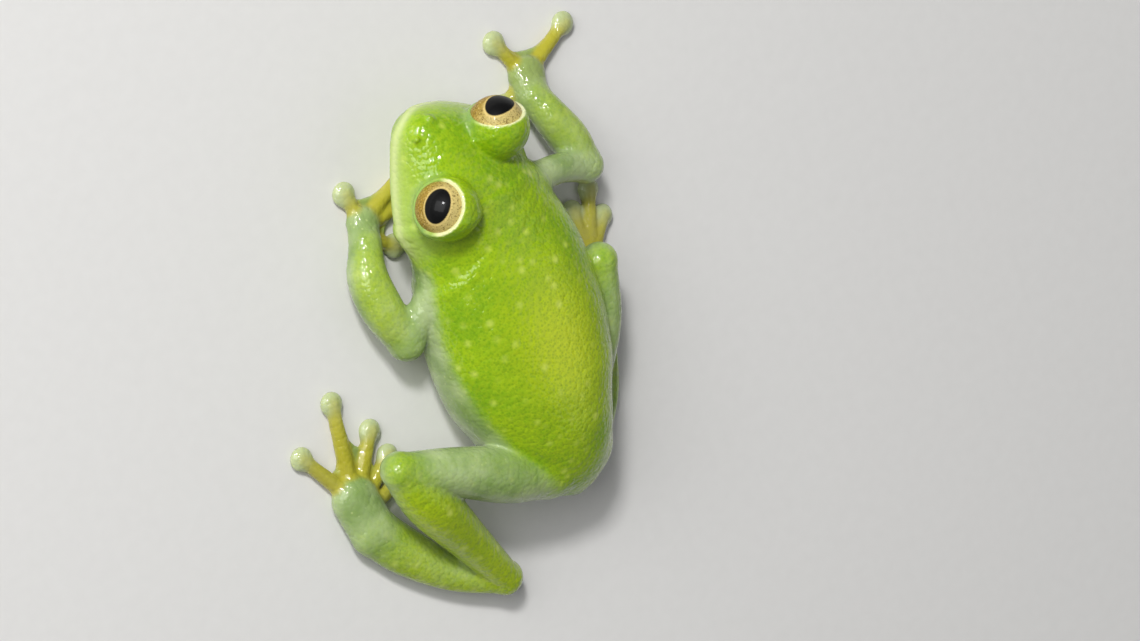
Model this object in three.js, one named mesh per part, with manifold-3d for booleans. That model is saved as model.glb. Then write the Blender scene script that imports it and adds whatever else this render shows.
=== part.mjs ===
// A glass frog crouching on level ground, as a still life-size model.
// Millimetres, +Z up. The head points towards -Y and the frog's left side is at +X.
// The places below are measured from the ground under the middle of the trunk. The last
// lines move the whole frog so that its bounding box stands centred on the origin.
import * as THREE from "three";
import { mergeVertices } from "three/addons/utils/BufferGeometryUtils.js";
import Module from "manifold-3d";

const wasm = await Module();
wasm.setup();

// Driving sizes
const JOINT_GAP = 0.25; // left between two pieces of flesh that meet
const EYE_RADIUS = 1.62;
const EYE_SPACING = 5.9; // between the centres of the two eyeballs
const LID_THICKNESS = 0.2;
const HEAD_YAW = 25; // degrees to the frog's left
const HEAD_ROLL = 8; // degrees, right side down
const HEAD_PITCH = 6; // degrees, snout up
const FINGER_RADIUS = 0.42;
const TOE_RADIUS = 0.45;
const FINGER_DISC = 0.7; // radius of the round pad at a fingertip
const TOE_DISC = 0.68;
const DISC_HALF_HEIGHT = 0.36;
const WEB_THICKNESS = 0.5;
const PALM_SQUASH = 0.68; // height over width
const TARSUS_SQUASH = 0.65;
const FLAT_DEPTH = 0.08; // how far a pad is pressed flat against the ground

// How finely the surfaces are faceted
const BODY_SIDES = 20;
const BODY_RINGS = 15;
const LIMB_SIDES = 10;
const DIGIT_SIDES = 6;
const CAP_RINGS = 2; // rings that round off a limb's end
const TINY_VOLUME = 0.02; // a crumb that a cut leaves is dropped

const flesh = (color) => new THREE.MeshStandardMaterial({ color, roughness: 0.38, metalness: 0 });
const BACK_GREEN = 0x93b51f;
const LIMB_GREEN = 0xa4c06a;
const DIGIT_YELLOW = 0xc9c65a;
const EYE_GOLD = 0x8a6a2c;

// Sections of a body, each: y, middle, half width, top, bottom, height of the widest line
const TRUNK = {
  sections: [
    [-9.4, 0, 2.2, 5.3, 2.6, 3.9],
    [-8.4, 0, 3.6, 6.0, 1.5, 3.6],
    [-6.4, 0.05, 4.65, 6.4, 0.55, 3.3],
    [-3.6, 0.15, 5.35, 6.9, -0.05, 3.0],
    [-0.5, 0.25, 5.5, 7.1, -0.14, 2.9],
    [2.2, 0.4, 5.15, 7.1, -0.14, 2.9],
    [4.6, 0.45, 4.25, 6.8, -0.06, 2.9],
    [6.8, 0.3, 3.4, 6.1, 0.35, 3.0],
    [8.4, 0.15, 2.45, 5.2, 0.8, 3.1],
    [9.4, 0, 1.6, 4.3, 1.6, 3.0],
    [9.9, 0, 0.7, 3.6, 2.3, 3.0],
  ],
  topPower: 2.1,
  bottomPower: 2.6,
};
// The head in a frame of its own: y runs back from between the eyes, z up
const HEAD = {
  sections: [
    [-3.35, -0.2, 0.6, -2.0, -3.3, -2.8],
    [-3.15, -0.2, 1.1, -1.6, -3.6, -2.9],
    [-2.75, -0.2, 1.6, -1.3, -3.75, -3.0],
    [-2.0, -0.2, 2.35, -0.85, -3.95, -3.1],
    [-1.0, -0.1, 3.25, -0.35, -4.15, -3.15],
    [0.3, 0.05, 4.2, 0.0, -4.3, -3.15],
    [1.6, 0.05, 4.8, 0.25, -4.45, -3.1],
    [2.9, 0, 4.8, 0.3, -4.5, -3.0],
    [4.1, 0, 4.1, 0.1, -4.4, -2.9],
    [4.9, 0, 3.0, -0.4, -4.1, -2.8],
  ],
  topPower: 1.85,
  bottomPower: 2.3,
};
const HEAD_AT = [1.2, -11.5, 6.1];
const EYE_AT = [EYE_SPACING / 2, 0.4, -0.3]; // the left one, in the head's frame
const OPENING_AXIS = [0.444, -0.823, 0.355]; // where the left eye's opening faces
const OPENING_SHIFT = 1.15; // of the round window between the lids, along that axis
const LID_SHIFT = [-0.1, 0.1, 0.12]; // of the left lid's bulge from the eyeball
const NOSTRIL_AT = [0.75, -2.75, -1.45];
const NOSTRIL_RADIUS = 0.42;

// A limb is a row of stations, each: x, y, z, half thickness. A digit is: its root's
// share of the way along the palm or sole, then x and y of its tip.
const ARMS = {
  left: {
    upper_arm: [[3.0, -6.3, 3.5, 1.05], [4.9, -4.5, 3.0, 0.85], [6.6, -2.7, 2.2, 0.95]],
    forearm: [
      [6.6, -2.7, 2.2, 0.95], [7.15, -4.9, 2.0, 1.2], [7.15, -6.9, 1.6, 1.15], [6.35, -8.5, 1.2, 0.85],
    ],
    palm: [[6.35, -8.5, 1.15, 0.85], [5.8, -9.4, 0.6, 1.0]],
    digits: [[0.3, 4.2, -7.3], [0.7, 2.8, -9.3], [1, 2.0, -10.9], [1, 6.1, -11.35]],
    webs: [0.75, 0.85, 0.85],
  },
  right: {
    upper_arm: [[-2.8, -7.9, 3.5, 1.0], [-5.5, -7.6, 3.0, 0.85], [-7.85, -6.7, 2.3, 0.95]],
    forearm: [
      [-7.85, -6.7, 2.3, 0.95], [-7.6, -8.4, 2.0, 1.15], [-7.1, -10, 1.7, 1.05], [-6.8, -11.3, 1.2, 0.9],
    ],
    palm: [[-6.8, -11.3, 1.15, 0.9], [-7.15, -12.4, 0.6, 1.15]],
    digits: [[0.3, -4.9, -10.2], [0.7, -5.1, -11.4], [1, -6.0, -14.9], [1, -10.65, -14.0]],
    webs: [0.5, 0.6, 0.8],
  },
};
const LEGS = {
  left: {
    thigh: [[2.1, 7.6, 3.7, 1.3], [4.4, 6.4, 4.0, 1.6], [7.8, 4.4, 4.3, 1.35], [10.8, 2.8, 4.3, 1.0]],
    shank: [[10.8, 2.8, 4.3, 1.05], [9.4, 5.5, 3.7, 1.5], [7.3, 9.2, 2.5, 1.2], [5.2, 12.9, 1.3, 0.9]],
    tarsus: [
      [5.2, 12.9, 1.3, 0.95], [8.1, 11.1, 1.05, 1.05], [10.4, 8.6, 0.95, 1.35], [11.8, 6.6, 0.9, 1.4],
    ],
    sole: [[11.8, 6.6, 0.85, 1.4], [12.1, 4.5, 0.6, 1.4]],
    digits: [[0.5, 9.2, 5.0], [0.7, 9.1, 3.3], [0.9, 9.6, 1.5], [1, 11.25, -1.0], [1, 14.15, 0.95]],
    webs: [0.5, 0.8, 0.85, 0.6],
  },
  right: {
    thigh: [[-1.6, 7.6, 3.2, 1.1], [-2.5, 5.4, 2.9, 1.15], [-4.95, 1.6, 3.3, 1.1], [-5.8, -1.9, 3.8, 1.0]],
    shank: [[-5.8, -1.9, 3.8, 1.0], [-4.7, 1.2, 2.3, 1.1], [-3.2, 5.2, 1.5, 1.05], [-2.7, 9.0, 1.2, 0.85]],
    tarsus: [[-2.7, 9.0, 1.2, 0.85], [-4.9, 6.6, 0.8, 0.95], [-5.9, 3.8, 0.75, 1.0], [-6.7, 1.2, 0.75, 1.05]],
    sole: [[-6.7, 1.2, 0.8, 1.05], [-7.1, -0.8, 0.6, 1.15]],
    digits: [[0.5, -5.6, -1.7], [0.7, -6.2, -2.8], [0.9, -7.2, -3.9], [1, -8.7, -4.6], [1, -9.0, -2.8]],
    webs: [0.5, 0.7, 0.8, 0.7],
  },
};

// A geometry as a solid that can be joined and cut.
function solid(geometry) {
  geometry.deleteAttribute("normal");
  geometry.deleteAttribute("uv");
  const merged = mergeVertices(geometry, 1e-4);
  return new wasm.Manifold(
    new wasm.Mesh({
      numProp: 3,
      vertProperties: merged.attributes.position.array,
      triVerts: new Uint32Array(merged.index.array),
    }),
  );
}

const joined = (solids) => solids.reduce((sum, next) => sum.add(next));

// One closed surface over a row of rings that all have the same number of points.
function loft(rings) {
  const sides = rings[0].length;
  const points = rings.flat();
  const faces = [];
  for (let ring = 0; ring + 1 < rings.length; ring++) {
    for (let side = 0; side < sides; side++) {
      const a = ring * sides + side;
      const b = ring * sides + ((side + 1) % sides);
      faces.push(a, b, b + sides, a, b + sides, a + sides);
    }
  }
  for (const start of [0, (rings.length - 1) * sides]) {
    const middle = new THREE.Vector3();
    points.slice(start, start + sides).forEach((point) => middle.addScaledVector(point, 1 / sides));
    points.push(middle);
    for (let side = 0; side < sides; side++) {
      const a = start + side;
      const b = start + ((side + 1) % sides);
      faces.push(...(start ? [a, b] : [b, a]), points.length - 1);
    }
  }
  const geometry = new THREE.BufferGeometry().setFromPoints(points);
  geometry.setIndex(faces);
  return geometry;
}

// The rows of a table, blended smoothly by their first column.
function blended(table) {
  const heads = table.map((row) => row[0]);
  const values = table.flatMap((row) => row.slice(1));
  const curve = new THREE.CubicInterpolant(heads, values, table[0].length - 1);
  return (at) => Array.from(curve.evaluate(at));
}

// A trunk or head, grown on every side by the same amount. A section is a rounded oval
// whose upper and lower halves have their own height and squareness.
function bodyShape({ sections, topPower, bottomPower }, grow) {
  const section = blended(sections);
  const first = sections[0][0];
  const last = sections[sections.length - 1][0];
  const squared = (value, power) => Math.sign(value) * Math.abs(value) ** (2 / power);
  const rings = [];
  for (let ring = 0; ring <= BODY_RINGS; ring++) {
    // The rings crowd towards both ends, where the body closes.
    const along = -Math.cos((Math.PI * ring) / BODY_RINGS);
    const y = (first + last + (last - first) * along) / 2;
    const [middle, half, top, bottom, widest] = section(y);
    rings.push(
      Array.from({ length: BODY_SIDES }, (_, side) => {
        const angle = (2 * Math.PI * side) / BODY_SIDES;
        const upper = Math.sin(angle) > 0;
        const power = upper ? topPower : bottomPower;
        const height = (upper ? top - widest : widest - bottom) + grow;
        return new THREE.Vector3(
          middle - (half + grow) * squared(Math.cos(angle), power),
          y + grow * along,
          widest + height * squared(Math.sin(angle), power),
        );
      }),
    );
  }
  return loft(rings);
}

// A limb along its stations, rounded over at both ends and grown by the same amount all
// round. The squash is its height over its width.
function limb(stations, grow = 0, { sides = LIMB_SIDES, squash = 1, rings = 2, caps = CAP_RINGS } = {}) {
  const line = new THREE.CatmullRomCurve3(
    stations.map(([x, y, z]) => new THREE.Vector3(x, y, z)),
    false,
    "centripetal",
  );
  const spans = stations.length - 1;
  const thickness = blended(stations.map((station, index) => [index / spans, station[3]]));
  const radiusAt = (t) => thickness(t)[0] + grow;
  const place = (t, angle) => {
    const shift = line.getTangent(t).multiplyScalar(radiusAt(t) * Math.sin(angle));
    return { middle: line.getPoint(t).add(shift), radius: radiusAt(t) * Math.cos(angle), t };
  };
  const capAngle = (step) => (Math.PI / 2) * (step / (caps + 0.4));
  const places = [];
  for (let step = caps; step > 0; step--) places.push(place(0, -capAngle(step)));
  for (let step = 0; step <= spans * rings; step++) places.push(place(step / (spans * rings), 0));
  for (let step = 1; step <= caps; step++) places.push(place(1, capAngle(step)));
  const up = new THREE.Vector3(0, 0, 1);
  return solid(
    loft(
      places.map(({ middle, radius, t }) => {
        const along = line.getTangent(t);
        const across = new THREE.Vector3().crossVectors(up, along).normalize();
        const over = new THREE.Vector3().crossVectors(along, across);
        return Array.from({ length: sides }, (_, side) => {
          const angle = (2 * Math.PI * side) / sides;
          return middle
            .clone()
            .addScaledVector(across, radius * Math.cos(angle))
            .addScaledVector(over, radius * squash * Math.sin(angle));
        });
      }),
    ),
  );
}

function ball(middle, radius, around = 20) {
  return solid(new THREE.SphereGeometry(radius, around, around * 0.6).translate(...middle));
}

// The round pad under the tip of a digit.
function disc(x, y, radius) {
  const pad = new THREE.SphereGeometry(1, 8, 4).rotateX(Math.PI / 2);
  pad.scale(radius, radius, DISC_HALF_HEIGHT);
  return solid(pad.translate(x, y, DISC_HALF_HEIGHT - FLAT_DEPTH));
}

// The web between two digits spreads from the palm to the given share of their length,
// and its free edge is hollow.
function web(palm, digitA, digitB, reach) {
  const along = ({ root, tip }, share) => root.clone().lerp(tip, share);
  const [a, b] = [along(digitA, reach), along(digitB, reach)];
  const hollow = a.clone().lerp(b, 0.5).lerp(palm, 0.3);
  const outline = [palm, ...new THREE.QuadraticBezierCurve(a, hollow, b).getPoints(3)];
  if (THREE.ShapeUtils.area(outline) < 0) outline.reverse();
  const plate = new THREE.ExtrudeGeometry(new THREE.Shape(outline), {
    depth: WEB_THICKNESS,
    bevelEnabled: false,
  });
  return solid(plate);
}

// A palm or sole with its digits, pads and webs, all one piece of flesh.
function handOrFoot({ palm, digits, webs }, digitRadius, discRadius, grow) {
  const [start, end] = [palm[0], palm[palm.length - 1]].map(([x, y]) => new THREE.Vector2(x, y));
  const rays = digits.map(([share, x, y]) => ({
    root: start.clone().lerp(end, share),
    tip: new THREE.Vector2(x, y),
  }));
  const parts = [limb(palm, grow, { squash: PALM_SQUASH })];
  for (const { root, tip } of rays) {
    const stations = [0, 0.4, 1].map((share, index) => {
      const { x, y } = root.clone().lerp(tip, share);
      return [x, y, [0.5, 0.42, 0.32][index], digitRadius * [1.15, 1, 0.85][index]];
    });
    parts.push(limb(stations, grow, { sides: DIGIT_SIDES, rings: 1, caps: 1 }));
    parts.push(disc(tip.x, tip.y, discRadius));
  }
  webs.forEach((reach, index) => {
    if (reach > 0) parts.push(web(start, rays[index], rays[index + 1], reach));
  });
  return joined(parts);
}

// The head's frame in the frog's: turned to its left, with the snout a little up.
const headFrame = new THREE.Matrix4()
  .makeRotationZ(THREE.MathUtils.degToRad(HEAD_YAW))
  .multiply(new THREE.Matrix4().makeRotationX(THREE.MathUtils.degToRad(-HEAD_PITCH)))
  .multiply(new THREE.Matrix4().makeRotationY(THREE.MathUtils.degToRad(-HEAD_ROLL)))
  .setPosition(...HEAD_AT);
const inHead = ([x, y, z], side) => new THREE.Vector3(side * x, y, z).applyMatrix4(headFrame);
const openingAxis = (side) => {
  const [x, y, z] = OPENING_AXIS;
  return new THREE.Vector3(side * x, y, z).transformDirection(headFrame);
};

function head(grow) {
  const skull = solid(bodyShape(HEAD, grow).applyMatrix4(headFrame));
  const bumps = [];
  const windows = [];
  for (const side of [1, -1]) {
    const lid = EYE_AT.map((value, axis) => value + LID_SHIFT[axis]);
    bumps.push(ball(inHead(lid, side), EYE_RADIUS + JOINT_GAP + LID_THICKNESS + grow, 9));
    bumps.push(ball(inHead(NOSTRIL_AT, side), NOSTRIL_RADIUS + grow, 6));
    const window = inHead(EYE_AT, side).addScaledVector(openingAxis(side), OPENING_SHIFT);
    if (grow === 0) windows.push(ball(window, EYE_RADIUS + JOINT_GAP, 10));
  }
  const whole = joined([skull, ...bumps]);
  return windows.reduce((left, window) => left.subtract(window), whole);
}

// Every piece in order: an earlier one keeps its shape and makes room in the later ones.
const pieces = [];
const addPiece = (name, color, make) => pieces.push({ name, color, make });

for (const [name, side] of [["eye_left", 1], ["eye_right", -1]]) {
  addPiece(name, EYE_GOLD, (grow) => ball(inHead(EYE_AT, side), EYE_RADIUS + grow, 14));
}
addPiece("head", BACK_GREEN, head);
for (const side of ["left", "right"]) {
  for (const part of ["shank", "thigh"]) {
    addPiece(`${part}_${side}`, LIMB_GREEN, (grow) => limb(LEGS[side][part], grow));
  }
  addPiece(`tarsus_${side}`, LIMB_GREEN, (grow) =>
    limb(LEGS[side].tarsus, grow, { squash: TARSUS_SQUASH }),
  );
}
addPiece("trunk", BACK_GREEN, (grow) => solid(bodyShape(TRUNK, grow)));
for (const side of ["left", "right"]) {
  const arm = ARMS[side];
  const leg = LEGS[side];
  for (const part of ["forearm", "upper_arm"]) {
    addPiece(`${part}_${side}`, LIMB_GREEN, (grow) => limb(arm[part], grow));
  }
  addPiece(`hand_${side}`, DIGIT_YELLOW, (grow) => handOrFoot(arm, FINGER_RADIUS, FINGER_DISC, grow));
  addPiece(`foot_${side}`, DIGIT_YELLOW, (grow) =>
    handOrFoot({ ...leg, palm: leg.sole }, TOE_RADIUS, TOE_DISC, grow),
  );
}

const boxOf = (piece) => {
  const { min, max } = piece.boundingBox();
  return new THREE.Box3(new THREE.Vector3(...min), new THREE.Vector3(...max));
};

// The piece without what it shares with the earlier ones, and nothing of it underground.
function fitted({ make }, earlier) {
  let piece = make(0);
  for (const other of earlier) {
    const room = other.make(JOINT_GAP);
    if (boxOf(room).intersectsBox(boxOf(piece))) piece = piece.subtract(room);
  }
  const ground = solid(new THREE.BoxGeometry(100, 100, 10).translate(0, 0, -5));
  const bodies = piece.subtract(ground).decompose();
  bodies.sort((a, b) => b.volume() - a.volume());
  for (const crumb of bodies.slice(1)) {
    if (crumb.volume() > TINY_VOLUME) throw new Error("a cut has split a piece in two");
  }
  return bodies[0];
}

function meshOf(piece, name, color) {
  const { vertProperties, triVerts } = piece.getMesh();
  const geometry = new THREE.BufferGeometry();
  geometry.setAttribute("position", new THREE.BufferAttribute(vertProperties, 3));
  geometry.setIndex(new THREE.BufferAttribute(triVerts, 1));
  geometry.computeVertexNormals();
  const mesh = new THREE.Mesh(geometry, flesh(color));
  mesh.name = name;
  return mesh;
}

const group = new THREE.Group();
pieces.forEach((piece, index) => {
  group.add(meshOf(fitted(piece, pieces.slice(0, index)), piece.name, piece.color));
});
const box = new THREE.Box3().setFromObject(group);
const middle = box.getCenter(new THREE.Vector3());
group.position.set(-middle.x, -middle.y, -box.min.z);

export default group;
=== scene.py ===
import math

import bpy
import numpy as np
from mathutils import Matrix, Vector


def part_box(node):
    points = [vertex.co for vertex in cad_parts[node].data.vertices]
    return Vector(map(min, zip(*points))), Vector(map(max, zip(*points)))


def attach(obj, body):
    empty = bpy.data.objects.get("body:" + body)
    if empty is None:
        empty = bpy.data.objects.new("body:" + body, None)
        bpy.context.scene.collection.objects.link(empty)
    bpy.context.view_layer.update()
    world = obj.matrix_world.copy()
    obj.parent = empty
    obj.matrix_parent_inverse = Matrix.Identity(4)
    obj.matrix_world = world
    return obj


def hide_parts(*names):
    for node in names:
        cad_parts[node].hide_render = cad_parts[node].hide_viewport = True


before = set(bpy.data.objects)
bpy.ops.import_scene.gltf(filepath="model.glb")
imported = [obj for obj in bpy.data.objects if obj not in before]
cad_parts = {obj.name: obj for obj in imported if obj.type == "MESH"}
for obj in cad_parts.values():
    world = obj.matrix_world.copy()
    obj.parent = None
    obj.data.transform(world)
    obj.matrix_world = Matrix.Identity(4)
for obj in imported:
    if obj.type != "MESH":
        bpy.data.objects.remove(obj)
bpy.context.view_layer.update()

# Every length below is in millimetres and in the frog's own frame, until to_scene() turns
# it into the metres of the scene. The head points to -Y, and the frog's left is at +X.
MM = 0.001

# Driving sizes
EYE_RADIUS = 1.62
EYE_SPACING = 5.9
HEAD_AT = (1.2, -11.5, 6.1)
HEAD_YAW = 25.0
HEAD_PITCH = 6.0
HEAD_ROLL = 8.0
FINGER_RADIUS = 0.42
TOE_RADIUS = 0.45
FINGER_DISC = 0.7
TOE_DISC = 0.68
DISC_HALF_HEIGHT = 0.36
PAD_SINK = 0.08  # how far a pad would go below the ground, which cuts it flat
WEB_HALF_THICKNESS = 0.2
WEB_HEIGHT = 0.28
WEB_HOLLOW = 0.3  # how far the free edge is drawn towards the palm
WEB_EDGE_POINTS = 7
PALM_SQUASH = 0.68
TARSUS_SQUASH = 0.65

# Fineness of the skin: the length of one side of its small faces
SKIN_STEP = 0.105

# Sections of a body, each: y, middle, half width, top, bottom, height of the widest line
TRUNK = {
    "sections": [
        (-9.4, 0.0, 2.2, 5.3, 2.6, 3.9),
        (-8.4, 0.0, 3.6, 6.0, 1.5, 3.6),
        (-6.4, 0.05, 4.65, 6.4, 0.55, 3.3),
        (-3.6, 0.15, 5.35, 6.9, -0.05, 3.0),
        (-0.5, 0.25, 5.5, 7.1, -0.14, 2.9),
        (2.2, 0.4, 5.15, 7.1, -0.14, 2.9),
        (4.6, 0.45, 4.25, 6.8, -0.06, 2.9),
        (6.8, 0.3, 3.4, 6.1, 0.35, 3.0),
        (8.4, 0.15, 2.45, 5.2, 0.8, 3.1),
        (9.4, 0.0, 1.6, 4.3, 1.6, 3.0),
        (9.9, 0.0, 0.7, 3.6, 2.3, 3.0),
    ],
    "top_power": 2.1,
    "bottom_power": 2.6,
}
HEAD = {
    "sections": [
        (-3.35, -0.2, 0.6, -2.0, -3.3, -2.8),
        (-3.15, -0.2, 1.1, -1.6, -3.6, -2.9),
        (-2.75, -0.2, 1.6, -1.3, -3.75, -3.0),
        (-2.0, -0.2, 2.35, -0.85, -3.95, -3.1),
        (-1.0, -0.1, 3.25, -0.35, -4.15, -3.15),
        (0.3, 0.05, 4.2, 0.0, -4.3, -3.15),
        (1.6, 0.05, 4.8, 0.25, -4.45, -3.1),
        (2.9, 0.0, 4.8, 0.3, -4.5, -3.0),
        (4.1, 0.0, 4.1, 0.1, -4.4, -2.9),
        (4.9, 0.0, 3.0, -0.4, -4.1, -2.8),
    ],
    "top_power": 1.85,
    "bottom_power": 2.3,
}

# In the head's frame: the left eye, its lids and its nostril, which the right ones mirror
EYE_AT = np.array([EYE_SPACING / 2, 0.4, -0.3])
EYE_AXIS = np.array([0.405, -0.750, 0.523])  # where the eye looks
OPENING_AXIS = np.array([0.444, -0.823, 0.355])  # where the gap between the lids faces
OPENING_HEIGHT = 0.785  # of the gap's bottom over the eye's centre
OPENING_RADIUS = 1.44  # at that height
OPENING_FLARE = 0.8  # how much wider the gap gets per millimetre of height
LID_SHIFT = np.array([-0.1, 0.1, 0.12])  # from the eye's centre to the upper lid's
UPPER_LID_RADIUS = EYE_RADIUS + 0.14
LOWER_LID_RADIUS = EYE_RADIUS + 0.1
NOSTRIL_AT = np.array([0.75, -2.8, -1.45])
NOSTRIL_RADIUS = 0.1
PIT_SHIFT = (0.22, -0.2, 0.1)  # from the nostril's bump to its pit
PIT_RADIUS = 0.1

# The closed mouth, a shallow line round the snout in the head's frame
MOUTH_BELOW_WIDEST = 0.42
MOUTH_CORNER = 1.3  # how far back the mouth runs, along the head
MOUTH_FADE = 0.8  # the length on which its end fades out
MOUTH_HALF_WIDTH = 0.12
MOUTH_DEPTH = 0.13

# How softly neighbouring shapes run into each other
LOWER_LID_BLEND = 0.4
UPPER_LID_BLEND = 0.2
LID_EDGE_BLEND = 0.12
GAP_BLEND = 0.1
NOSTRIL_BLEND = 0.45
PIT_BLEND = 0.1
NECK_BLEND = 1.6
ELBOW_BLEND = 0.4
PALM_BLEND = 0.5
DIGIT_BLEND = 0.25
WEB_BLEND = 0.2
WEB_EDGE_BLEND = 0.15
THIN_BLEND = 0.1  # of pads with pads, and of webs with webs
CREASE = 0.22

# What is added to the crease where a limb leaves the body or folds, and how far around
SHOULDER_BLEND = 1.0
SHOULDER_REACH = 1.7
HIP_BLEND = 1.2
HIP_REACH = 2.2
HEEL_BLEND = 0.3
HEEL_REACH = 1.2

# How far outside its box a shape is still worked out
BODY_MARGIN = 4.0
LIMB_MARGIN = 1.8
THIN_MARGIN = 0.8

# Keeps divisors off zero
TINY = 1e-6

# Limb stations: x, y, z, half thickness. The bend is the number of the elbow's station.
# Digits: share of the way along the palm or sole where the digit starts, then x and y of
# its tip. Webs: the share of the digits' lengths that the web between two of them reaches.
ARMS = {
    "left": {
        "limb": [
            (3.0, -6.3, 3.5, 1.05), (4.9, -4.5, 3.0, 0.85), (6.6, -2.7, 2.2, 0.95),
            (7.15, -4.9, 2.0, 1.2), (7.15, -6.9, 1.6, 1.15), (6.35, -8.5, 1.2, 0.85),
        ],
        "bend": 2,
        "palm": [(6.35, -8.5, 1.15, 0.85), (5.8, -9.4, 0.6, 1.0)],
        "digits": [(0.3, 4.2, -7.3), (0.7, 2.8, -9.3), (1.0, 2.0, -10.9), (1.0, 6.1, -11.35)],
        "webs": [0.75, 0.85, 0.85],
    },
    "right": {
        "limb": [
            (-2.8, -7.9, 3.5, 1.0), (-5.5, -7.6, 3.0, 0.85), (-7.85, -6.7, 2.3, 0.95),
            (-7.6, -8.4, 2.0, 1.15), (-7.1, -10.0, 1.7, 1.05), (-6.8, -11.3, 1.2, 0.9),
        ],
        "bend": 2,
        "palm": [(-6.8, -11.3, 1.15, 0.9), (-7.15, -12.4, 0.6, 1.15)],
        "digits": [
            (0.3, -4.9, -10.2), (0.7, -5.1, -11.4), (1.0, -6.0, -14.9), (1.0, -10.65, -14.0),
        ],
        "webs": [0.5, 0.6, 0.8],
    },
}
LEGS = {
    "left": {
        "thigh": [
            (2.1, 7.6, 3.7, 1.3), (4.4, 6.4, 4.0, 1.6), (7.8, 4.4, 4.3, 1.35), (10.8, 2.8, 4.3, 1.0),
        ],
        "shank": [
            (10.8, 2.8, 4.3, 1.05), (9.4, 5.5, 3.7, 1.5), (7.3, 9.2, 2.5, 1.2), (5.2, 12.9, 1.3, 0.9),
        ],
        "tarsus": [
            (5.2, 12.9, 1.3, 0.95), (8.1, 11.1, 1.05, 1.05), (10.4, 8.6, 0.95, 1.35),
            (11.8, 6.6, 0.9, 1.4),
        ],
        "palm": [(11.8, 6.6, 0.85, 1.4), (12.1, 4.5, 0.6, 1.4)],
        "digits": [
            (0.5, 9.2, 5.0), (0.7, 9.1, 3.3), (0.9, 9.6, 1.5), (1.0, 11.25, -1.0), (1.0, 14.15, 0.95),
        ],
        "webs": [0.5, 0.8, 0.85, 0.6],
    },
    "right": {
        "thigh": [
            (-1.6, 7.6, 3.2, 1.1), (-2.5, 5.4, 2.9, 1.15), (-4.95, 1.6, 3.3, 1.1),
            (-5.8, -1.9, 3.8, 1.0),
        ],
        "shank": [
            (-5.8, -1.9, 3.8, 1.0), (-4.7, 1.2, 2.3, 1.1), (-3.2, 5.2, 1.5, 1.05), (-2.7, 9.0, 1.2, 0.85),
        ],
        "tarsus": [
            (-2.7, 9.0, 1.2, 0.85), (-4.9, 6.6, 0.8, 0.95), (-5.9, 3.8, 0.75, 1.0),
            (-6.7, 1.2, 0.75, 1.05),
        ],
        "palm": [(-6.7, 1.2, 0.8, 1.05), (-7.1, -0.8, 0.6, 1.15)],
        "digits": [
            (0.5, -5.6, -1.7), (0.7, -6.2, -2.8), (0.9, -7.2, -3.9), (1.0, -8.7, -4.6), (1.0, -9.0, -2.8),
        ],
        "webs": [0.5, 0.7, 0.8, 0.7],
    },
}
SIDES = (("left", 1.0), ("right", -1.0))

# Along each digit: share of the way, height, and thickness against the digit's radius
DIGIT_STATIONS = ((0, 0.5, 1.15), (0.4, 0.42, 1.0), (1, 0.32, 0.85))


# The head's frame in the frog's: turned to its left, snout up, right side down
def turn(axis, degrees):
    return np.array(Matrix.Rotation(math.radians(degrees), 3, axis))


HEAD_TURN = turn("Z", HEAD_YAW) @ turn("X", -HEAD_PITCH) @ turn("Y", -HEAD_ROLL)
HEAD_ORIGIN = np.array(HEAD_AT)


def to_head(points):
    return (points - HEAD_ORIGIN) @ HEAD_TURN


def from_head(points):
    return np.asarray(points) @ HEAD_TURN.T + HEAD_ORIGIN


def mirrored(vector, side):
    return np.asarray(vector) * (side, 1, 1)


def unit(vector):
    return vector / np.linalg.norm(vector)


def make_eye_frame(side):
    """Where an eye is and looks, and where the gap between its lids faces."""
    opening = HEAD_TURN @ unit(mirrored(OPENING_AXIS, side))
    up = HEAD_TURN[:, 2]
    return {
        "centre": from_head(mirrored(EYE_AT, side)),
        "axis": HEAD_TURN @ unit(mirrored(EYE_AXIS, side)),
        "opening": opening,
        "upper": unit(up - (up @ opening) * opening),
        "lid": from_head(mirrored(EYE_AT + LID_SHIFT, side)),
    }


EYES = {name: make_eye_frame(side) for name, side in SIDES}


# Fields: each returns, for an array of points, about how far they are outside a shape
def smooth_min(a, b, width):
    """The smaller of two distances, rounded where they are within a width of each other."""
    overlap = np.maximum(width - np.abs(a - b), 0) / width
    return np.minimum(a, b) - overlap * overlap * width / 4


def smooth_max(a, b, width):
    return -smooth_min(-a, -b, width)


def ball(points, centre, radius):
    return np.linalg.norm(points - centre, axis=1) - radius


def culled(field, low, high, margin):
    """The field within a margin of the shape's box, and a rougher distance beyond it."""
    low, high = np.asarray(low, float), np.asarray(high, float)

    def result(points):
        outside = np.linalg.norm(np.maximum(np.maximum(low - points, points - high), 0), axis=1)
        close = outside < margin
        outside[~close] += margin / 2
        outside[close] = field(points[close])
        return outside

    return result


def near(points, centre, reach):
    """1 at the centre, about a third at the reach, and soon 0 beyond it."""
    away = ((points - centre) ** 2).sum(1)
    return np.exp(-away / (reach * reach))


def ramp(x, low, high):
    """0 up to low, rising smoothly to 1 at high."""
    t = np.clip((x - low) / (high - low), 0, 1)
    return t * t * (3 - 2 * t)


def fade(x, full, none):
    """1 up to full, falling smoothly to 0 at none."""
    return ramp(-x, -none, -full)


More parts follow.
